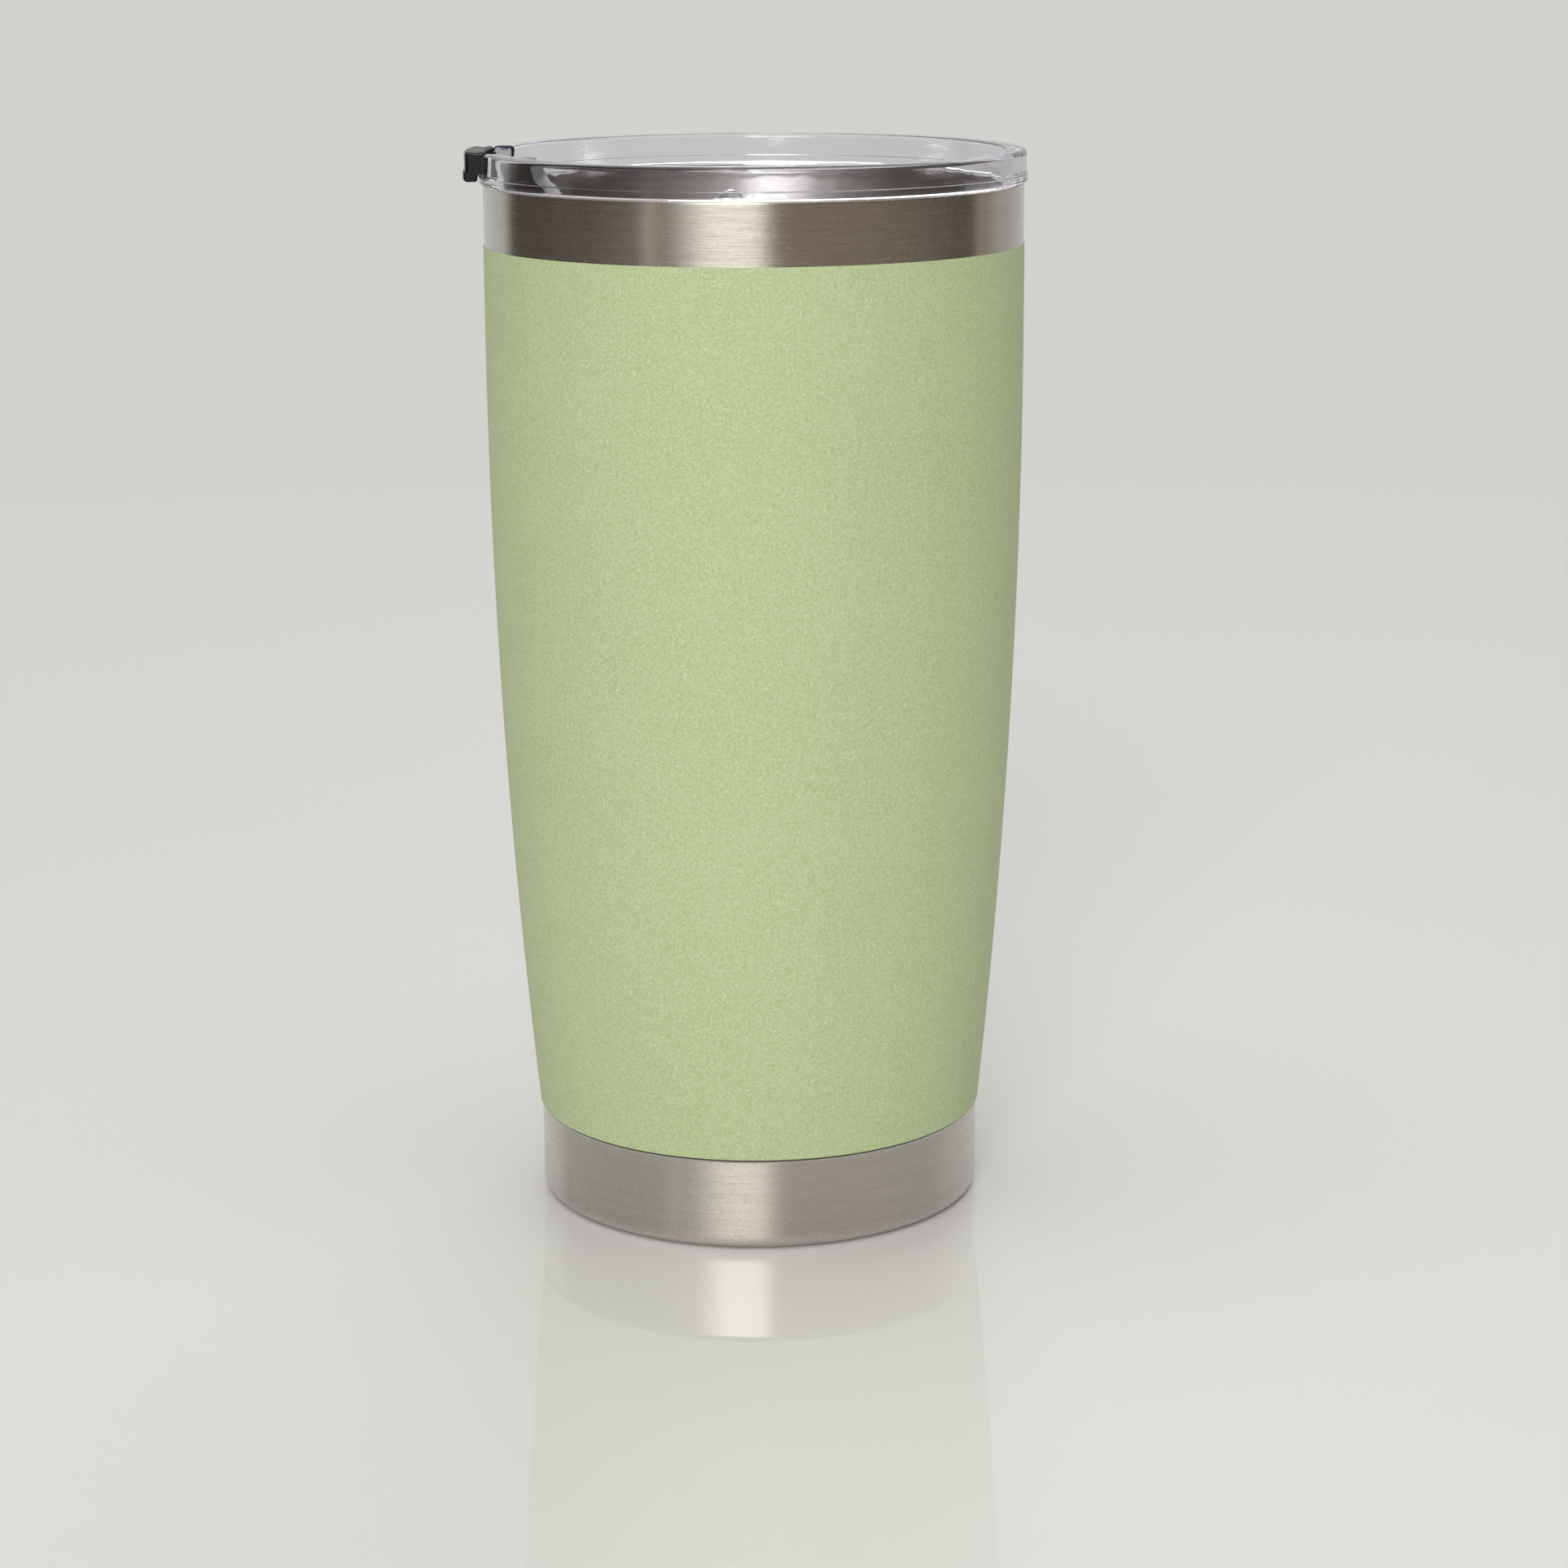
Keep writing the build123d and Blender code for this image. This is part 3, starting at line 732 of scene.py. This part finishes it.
def lidOutline():
    # one side of the lid from its floor's middle, up the recess, over the rim and the flange, down
    # the skirt with the seal's groove, and back under the floor
    rim, flange = lid["rimRadius"], place["flangeRadius"]
    under = lidFloor - lid["floorWall"]
    groove = place["skirtBottom"] + lid["grooveLand"]
    grooveTop = groove + lid["grooveHeight"]
    grooveRadius = lid["skirt"] - lid["grooveDepth"]
    corners = [
        (0, lidFloor, 0), (skirtInner, lidFloor, 0.8 * mm), (skirtInner, skirtTop, 1.2 * mm),
        (recessRadius, spigotEnd, 1.2 * mm), (recessRadius, place["rimTop"], lid["rimRound"]),
        (rim, place["rimTop"], lid["rimRound"]), (rim, flangeTop, 0.12 * mm),
        (flange, flangeTop, lid["flangeRound"]), (flange, flangeUnder, lid["flangeRound"]),
        (lid["spigot"], flangeUnder, 0.2 * mm), (lid["spigot"], spigotEnd, 0.5 * mm),
        (lid["skirt"], skirtTop, 0.8 * mm), (lid["skirt"], grooveTop, 0.15 * mm),
        (grooveRadius, grooveTop, 0.1 * mm), (grooveRadius, groove, 0.1 * mm),
        (lid["skirt"], groove, 0.15 * mm), (lid["skirt"], place["skirtBottom"], 0.4 * mm),
        (lid["capInner"], place["skirtBottom"], 0.3 * mm), (lid["capInner"], under, 0.5 * mm),
        (0, under, 0),
    ]
    return roundedOutline(corners, closed=False, steps=5)


def lidShell():
    # turned outline whose rim sinks to the flange inside the notch: the share of its height that
    # is left is a smooth step of how far the point's |y| lies past the notch's half-width; the
    # turned rows stand close together where the notch's sides rise
    outline = lidOutline()
    edge = np.arcsin(notchHalf / lid["rimRadius"])
    start, end = edge - lid["sideSpan"][0], edge + lid["sideSpan"][1]
    inside = np.linspace(0, start - lid["rowGap"], lid["insideRows"])
    near = np.linspace(start, end, lid["edgeRows"])
    rest = np.linspace(end + lid["rowGap"], pi - lid["seamGap"], lid["restRows"])
    one = np.concatenate([inside, near, rest, [pi]])
    turn = pi + np.concatenate([-one[::-1][1:-1], one[:-1], [pi]])
    turn = np.unique(np.round(turn, 9))
    radius, height = outline.T
    x, y = np.outer(np.cos(turn), radius), np.outer(np.sin(turn), radius)
    past = (np.abs(y) - notchHalf) / lid["notchEase"] / 2 + 0.5
    step = np.clip(past, 0, 1)
    step = np.where(x < 0, step * step * (3 - 2 * step), 1)
    isRim = (height > flangeTop) & (radius > recessRadius - 1e-6)
    z = np.broadcast_to(height, x.shape).copy()
    z = np.where(isRim[None], flangeTop + (z - flangeTop) * step, z)
    points = np.stack([x, y, z], -1)
    return gridMesh("clearLid", points, True, False)


def stadium(length, width, rows=24):
    # round-ended outline, long in y: a half circle moved out along y, and the same turned round
    t = np.linspace(0, pi, rows)
    end = np.stack([np.cos(t), np.sin(t)], 1) * width / 2 + [0, (length - width) / 2]
    return np.vstack([end, -end])


def uprightMesh(name, outline, low, high, edge, centre):
    # a flat outline carried upwards from low to high, with rounded edges
    half = (high - low) / 2
    plane, station = slabPoints(outline, half, edge)
    z = np.broadcast_to((station + low + half)[:, None], plane.shape[:2])
    points = np.stack([plane[..., 0] + centre, plane[..., 1], z], -1)
    return gridMesh(name, points, False, True, capped=True)


def acrossMesh(name, outline, half, edge, middle=0.0, bend=None):
    # an outline of (x, z) carried along y; bend may move x by what y is
    plane, station = slabPoints(outline, half, edge, across=15)
    y = np.broadcast_to(station[:, None] + middle, plane.shape[:2])
    x, z = plane[..., 0], plane[..., 1]
    x = bend(x, y, z) if bend else x
    return gridMesh(name, np.stack([x, y, z], -1), False, True, capped=True)


def circle(radius, rows=64):
    # points at one radius, at even angles
    t = np.arange(rows) * 2 * pi / rows
    return np.stack([np.cos(t), np.sin(t)], 1) * radius


def hingeEar(side):
    # a half circle about the hinge line on two straight sides, sunk a little into the lid's floor
    x, z = place["hinge"][0], place["hinge"][2]
    t = np.linspace(0, pi, 28)
    top = np.stack([np.cos(t), np.sin(t)], 1) * lid["earRadius"] + [x, z]
    low = lidFloor - lid["earSink"]
    foot = [(x - lid["earRadius"], low), (x + lid["earRadius"], low)]
    middle = side * (place["leverHalf"] + lid["earGap"] + lid["earWall"] / 2)
    return acrossMesh("ear", np.vstack([top, foot]), lid["earWall"] / 2, lid["earEdge"], middle)


def clearLid():
    # the lid's shell with its two ears, less the drink opening, the vent and the pin's hole
    mesh = carve(lidShell(), [hingeEar(-1), hingeEar(1)], "UNION")
    low, high = lidFloor - 2 * lid["floorWall"], lidFloor + lid["floorWall"]
    slotOutline = stadium(lid["sipLength"], lid["sipWidth"])
    sip = uprightMesh("sip", slotOutline, low, high, cutEdge, place["sipCentre"])
    vent = uprightMesh("vent", circle(lid["vent"]), low, high, cutEdge, place["ventCentre"])
    pin = acrossMesh("pin", circle(lid["pin"]) + place["hinge"][[0, 2]], cutHalf, cutEdge)
    return carve(mesh, [sip, vent, pin], "DIFFERENCE")


showPiece(clearLid(), "lid", "clearPlastic", ["lid_body"], crease=32)


# seal and pin
seal = {"body": 1.0 * mm, "lip": 0.9 * mm, "lipRise": 1.4, "soft": 0.12 * mm}
pinFit = {"ease": 0.985, "edge": 0.25 * mm}      # ease is the pin's share of its hole


def sealRing():
    # turned outline: a flat band in the groove with a lip at its foot and one at its top
    low, high = lowOf("lid_gasket")[2], highOf("lid_gasket")[2]
    reach = highOf("lid_gasket")[0]
    root = lid["skirt"] - lid["grooveDepth"]
    body, lip, soft = root + seal["body"], seal["lip"], seal["soft"]
    rise = seal["lipRise"] * lip
    corners = [
        (root, low, soft), (body, low, 0), (reach, low + lip / 3, soft), (reach, low + lip, soft),
        (body, low + rise, soft), (body, high - rise, soft), (reach, high - lip, soft),
        (reach, high - lip / 3, soft), (body, high, 0), (root, high, soft),
    ]
    return turnedMesh("sealRing", roundedOutline(corners, steps=4), 220)


def hingePin():
    # a circle about the hinge line, carried along y, with rounded ends
    outline = circle(lid["pin"] * pinFit["ease"], 48) + place["hinge"][[0, 2]]
    return acrossMesh("hingePin", outline, highOf("hinge_pin")[1], pinFit["edge"])


showPiece(sealRing(), "lid", "sealSilicone", ["lid_gasket"])
showPiece(hingePin(), "lid", "pinSteel", ["hinge_pin"])
print("lid made")


# flip lever
lever = {
    "armWall": 3.0 * mm, "riserWall": 4.6 * mm, "riserFoot": 5.0 * mm, "wallGap": 0.5 * mm,
    "barGap": 0.35 * mm, "barWall": 1.6 * mm, "barrel": 2.6 * mm, "bore": 1.05 * mm,
    "tipOuter": 46.6 * mm, "tipWall": 1.9 * mm, "tipInner": 43.3 * mm, "tipLip": 0.3 * mm,
    "tipRound": 0.5 * mm, "edge": 0.35 * mm, "tipEdge": 0.33 * mm, "dip": 0.14 * mm,
    "dipHalf": 0.8 * mm, "tipDrop": 4.6 * mm, "corner": 0.5 * mm, "overlap": 0.7 * mm,
    "inside": 0.04 * mm,     # how far the arm's faces stay inside those of the tip and barrel
}
barUnder = flangeTop + lever["barGap"]


def leverWallLimit(height):
    # radius of the recess wall less the gap, at a height
    heights = [lidFloor, skirtTop, spigotEnd, place["rimTop"]]
    radii = [skirtInner, skirtInner, recessRadius, recessRadius]
    return np.interp(height, heights, radii) - lever["wallGap"]


def leverBody():
    # outline of arm, riser and the bar over the rim, carried along y; below the bar each point
    # that would pass through the recess's round wall is moved back to it
    hingeX = place["hinge"][0]
    under, top = place["armUnder"], place["armUnder"] + lever["armWall"]
    barTop = barUnder + lever["barWall"]
    barLow = barUnder + lever["inside"]
    riserIn = -(recessRadius - lever["wallGap"] - lever["riserWall"])
    riserOut = -(recessRadius - lever["wallGap"])
    footX = riserIn + lever["riserFoot"]
    barEnd = -lever["tipInner"] - lever["overlap"]
    corners = [
        (hingeX, under, 0), (hingeX, top, 0), (footX, top, 4.5 * mm),
        (riserIn + 0.9 * mm, (top + barTop) / 2 + 0.6 * mm, 3.5 * mm),
        (riserIn, barTop, 0.6 * mm), (barEnd, barTop, 0),
        (barEnd, barLow, 0), (riserOut, barLow, 0.2 * mm),
        (riserOut, spigotEnd, 0.8 * mm), (lever["wallGap"] - skirtInner, under, 0.6 * mm),
    ]

    def followWall(x, y, z):
        reach = leverWallLimit(z)
        limit = -np.sqrt(np.maximum(reach ** 2 - y ** 2, 0))
        return np.where(z < barUnder - 1e-6, np.maximum(x, limit), x)
    outline = roundedOutline(corners, steps=8)
    half = place["leverHalf"] - lever["inside"]
    return acrossMesh("flipLever", outline, half, lever["edge"], bend=followWall)


def leverTip():
    # section drawn by radius, bent so that every point keeps its radius from the mug's axis
    outer, inner = lever["tipOuter"], lever["tipInner"]
    hang = outer - lever["tipWall"]
    top, bottom = place["tipTop"], place["rimTop"] - lever["tipDrop"]
    lipRadius, lip = place["tipReach"], lever["tipLip"]
    groove, half, corner = (outer + inner) / 2, lever["dipHalf"], lever["corner"]
    corners = [
        (-inner, barUnder, corner), (-inner, top, corner),
        (-groove + half, top, 1.0 * mm), (-groove, top - lever["dip"], 1.0 * mm),
        (-groove - half, top, 1.0 * mm), (-outer, top, lever["tipRound"]),
        (-outer, barUnder + 2 * lip, corner), (-lipRadius, barUnder + lip, corner),
        (-lipRadius, bottom, corner), (-hang, bottom, corner),
        (-hang, barUnder, 0.2 * mm),
    ]

    def keepRadius(x, y, z):
        return -np.sqrt(np.maximum(x * x - y * y, 0))
    outline = roundedOutline(corners, steps=6)
    return acrossMesh("tip", outline, place["leverHalf"], lever["tipEdge"], bend=keepRadius)


def leverBarrel():
    # a circle about the hinge line, carried along y
    outline = circle(lever["barrel"], 72) + place["hinge"][[0, 2]]
    return acrossMesh("barrel", outline, place["leverHalf"], lever["edge"])


def flipLever():
    # arm, tip and barrel in one, less the bore for the pin
    mesh = carve(leverBody(), [leverTip(), leverBarrel()], "UNION")
    boreOutline = circle(lever["bore"], 48) + place["hinge"][[0, 2]]
    bore = acrossMesh("bore", boreOutline, cutHalf, cutEdge)
    return carve(mesh, [bore], "DIFFERENCE")


plug = {"slot": (14.0 * mm, 7.0 * mm), "land": 1.0 * mm, "gap": 0.3 * mm, "vent": 1.5 * mm,
        "ventLand": 1.3 * mm, "depth": 1.1 * mm, "bite": 0.6 * mm, "edge": 0.3 * mm}


def plugMesh(name, node, pad, nub):
    # a pad under the arm with a smaller land below it
    low, high = lowOf(node)[2], highOf(node)[2]
    centre = (lowOf(node)[0] + highOf(node)[0]) / 2
    padLow = low + plug["depth"]
    padPart = uprightMesh(name, pad, padLow, high, plug["edge"], centre)
    nubPart = uprightMesh("nub", nub, low, padLow + plug["bite"], plug["edge"], centre)
    return carve(padPart, [nubPart], "UNION")


def sipPlug():
    # round-ended pad that covers the drink opening, and a smaller one that enters it
    length, width = plug["slot"]
    grow, gap = 2 * plug["land"], 2 * plug["gap"]
    return plugMesh("sipPlug", "sip_plug", stadium(length + grow, width + grow),
                    stadium(length - gap, width - gap))


def ventPlug():
    # round pad that covers the vent, and a smaller one that enters it
    return plugMesh("ventPlug", "vent_plug", circle(plug["vent"] + plug["ventLand"], 48),
                    circle(plug["vent"] - plug["gap"], 40))


showPiece(flipLever(), "lever", "blackPlastic", ["flip_lever"], crease=30)
showPiece(sipPlug(), "lever", "blackSilicone", ["sip_plug"])
showPiece(ventPlug(), "lever", "blackSilicone", ["vent_plug"])
print("lever made")


# pieces inside the vacuum keep their CAD shape
kept = {"foil_wrap": "foil", "vacuum_seal_bead": "solderGlass", "getter_clip": "sheetSteel",
        "getter_pellet": "getterPowder", "cover_adhesive": "glue"}
for node, look in kept.items():
    mesh = frame["nodes"][node].data
    mesh.materials.clear()
    mesh.materials.append(finish[look])


# floor, light and camera
floorLook = {
    "radius": 1.0, "rings": 24, "sides": 96, "below": 0.02 * mm, "fadeStart": 0.30,
    "fadeEnd": 0.85, "colour": (0.775, 0.762, 0.752), "roughness": 0.5, "polish": 1.37,
}


def paleFloor():
    # a flat disc just under the foot; ring k of n lies at radius * (k / n) ** 1.5, so that the
    # rings widen outwards
    rings = floorLook["rings"]
    ring = floorLook["radius"] * np.linspace(0, 1, rings) ** 1.5
    outline = np.stack([ring, np.full(rings, -floorLook["below"])], 1)
    mesh = turnedMesh("paleFloor", outline, floorLook["sides"], closed=False)
    mesh.flip_normals()
    disc = bpy.data.objects.new("paleFloor", mesh)
    bpy.context.scene.collection.objects.link(disc)
    disc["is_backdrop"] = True
    material = bpy.data.materials.new("paleFloor")
    material.use_nodes = True
    maker = Maker(material.node_tree)
    x, y = maker.axes(maker.place())[:2]
    radius = (x * x + y * y) ** 0.5
    shade = maker.noise(maker.place(), 900, 2, 0.5)
    shader = maker.add("ShaderNodeBsdfPrincipled", None, {
        "Base Color": fourOf(floorLook["colour"]),
        "Roughness": floorLook["roughness"] + (shade - 0.5) * 0.1,
        "Specular IOR Level": 0.2, "Coat Weight": 1.0, "Coat Roughness": 0.0,
        "Coat IOR": floorLook["polish"],
    })
    clear = maker.add("ShaderNodeBsdfTransparent")
    fade = maker.add("ShaderNodeMapRange", {"interpolation_type": "SMOOTHSTEP"}, {
        "Value": radius, "From Min": floorLook["fadeStart"], "From Max": floorLook["fadeEnd"]})
    mixed = maker.add("ShaderNodeMixShader", None, {0: fade, 1: shader, 2: clear})
    maker.add("ShaderNodeOutputMaterial", None, {"Surface": mixed})
    mesh.materials.append(material)


# what shiny parts mirror, by compass angle: 0.5 is straight in front of the mug, and the angle
# grows towards its right
roomLook = {
    "camera": (0.645, 0.640, 0.620),
    "diffuse": (0.44, 0.436, 0.428),
    "stops": [
        (0.000, (0.62, 0.62, 0.60)), (0.135, (0.55, 0.55, 0.52)), (0.160, (0.045, 0.034, 0.016)),
        (0.300, (0.040, 0.022, 0.012)), (0.365, (0.11, 0.09, 0.07)), (0.372, (0.42, 0.38, 0.30)),
        (0.384, (0.42, 0.38, 0.30)), (0.390, (0.15, 0.115, 0.08)), (0.402, (0.30, 0.27, 0.23)),
        (0.450, (0.55, 0.53, 0.47)), (0.508, (0.55, 0.53, 0.47)),
        (0.530, (0.16, 0.105, 0.065)), (0.640, (0.14, 0.095, 0.055)), (0.780, (0.05, 0.036, 0.018)),
        (0.797, (0.05, 0.036, 0.018)), (0.801, (0.28, 0.24, 0.165)), (0.825, (0.29, 0.26, 0.20)),
        (0.850, (0.40, 0.39, 0.36)), (1.000, (0.62, 0.62, 0.60)),
    ],
    "windowSides": (0.408, 0.450, 0.506, 0.518), "windowFoot": (0.18, 0.26),
    "windowHead": (0.60, 0.68), "window": (6.4, 6.25, 5.8), "ceiling": (0.40, 0.39, 0.37),
    "ceilingFrom": (0.68, 0.85),
}


def room():
    # the camera and clear pieces see a plain pale grey, matt pieces a softer grey, and shiny pieces
    # the walls, the window and the ceiling
    world = bpy.data.worlds.new("room")
    bpy.context.scene.world = world
    world.use_nodes = True
    maker = Maker(world.node_tree)
    direction = maker.add("ShaderNodeTexCoord", out=0)
    x, y, z = maker.axes(direction)
    compass = maker.add("ShaderNodeMath", {"operation": "ARCTAN2"}, {0: x, 1: y * -1})
    turn = compass / (2 * pi) + 0.5
    wall = maker.add("ShaderNodeValToRGB", {"stops": roomLook["stops"]}, {"Fac": turn})
    rays = ("Is Glossy Ray", "Is Singular Ray", "Is Diffuse Ray")
    isMirror, isSharp, isDiffuse = maker.add("ShaderNodeLightPath", out=rays)
    near, left, right, far = roomLook["windowSides"]
    # a sharp ray comes from the polished floor, which shows no window
    across = maker.ramp(turn, near, left) * (1 - maker.ramp(turn, right, far))
    upright = maker.ramp(z, *roomLook["windowFoot"]) * (1 - maker.ramp(z, *roomLook["windowHead"]))
    walls = maker.blend(across * upright * (1 - isSharp), wall, roomLook["window"])
    mirrored = maker.blend(maker.ramp(z, *roomLook["ceilingFrom"]), walls, roomLook["ceiling"])
    seen = maker.blend(isDiffuse, roomLook["camera"], roomLook["diffuse"])
    colour = maker.blend(isMirror, seen, mirrored)
    light = maker.add("ShaderNodeBackground", None, {"Color": colour, "Strength": 1.0})
    maker.add("ShaderNodeOutputWorld", None, {"Surface": light})


lights = {
    "windowLight": {"at": (-0.25, -1.9, 0.85), "size": (0.7, 1.1), "power": 21,
                    "colour": (1, 0.99, 0.975)},
    "ceilingLight": {"at": (-0.1, -0.1, 1.9), "size": (1.6, 1.6), "power": 11,
                     "colour": (1, 0.99, 0.98)},
    "backLight": {"at": (0.5, 1.9, 0.9), "size": (1.3, 1.1), "power": 11,
                  "colour": (1, 0.99, 0.98)},
}


def softLights():
    # rectangles turned to face the middle of the mug, not seen in reflections
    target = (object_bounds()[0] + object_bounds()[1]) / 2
    for name, light in lights.items():
        lamp = bpy.data.lights.new(name, "AREA")
        lamp.shape = "RECTANGLE"
        lamp.size, lamp.size_y = light["size"]
        lamp.energy = light["power"]
        lamp.color = light["colour"]
        holder = bpy.data.objects.new(name, lamp)
        holder.location = light["at"]
        away = holder.location - target
        holder.rotation_euler = away.to_track_quat("Z", "Y").to_euler()
        holder.visible_glossy = False
        bpy.context.scene.collection.objects.link(holder)


view = {"at": (4.46 * mm, -608.7 * mm, 212.9 * mm), "down": 13.284, "roll": -0.262,
        "focal": 2.37541, "sensor": 36.0}


def camera():
    # looks level along +Y, then tilts down and rolls
    lens = bpy.data.cameras.new("view")
    lens.sensor_width = view["sensor"]
    lens.lens = view["sensor"] * view["focal"]
    lens.clip_start, lens.clip_end = 0.01, 20
    holder = bpy.data.objects.new("view", lens)
    tilt = Matrix.Rotation(radians(90 - view["down"]), 4, "X")
    roll = Matrix.Rotation(radians(view["roll"]), 4, "Z")
    holder.matrix_world = Matrix.Translation(view["at"]) @ (tilt @ roll)
    bpy.context.scene.collection.objects.link(holder)
    bpy.context.scene.camera = holder


paleFloor()
room()
softLights()
camera()
bpy.context.scene.view_settings.view_transform = "Standard"
bpy.context.scene.cycles.max_bounces = 48
bpy.context.scene.cycles.transmission_bounces = 48
bpy.context.scene.cycles.glossy_bounces = 32
bpy.context.scene.cycles.transparent_max_bounces = 16
print("stage made")
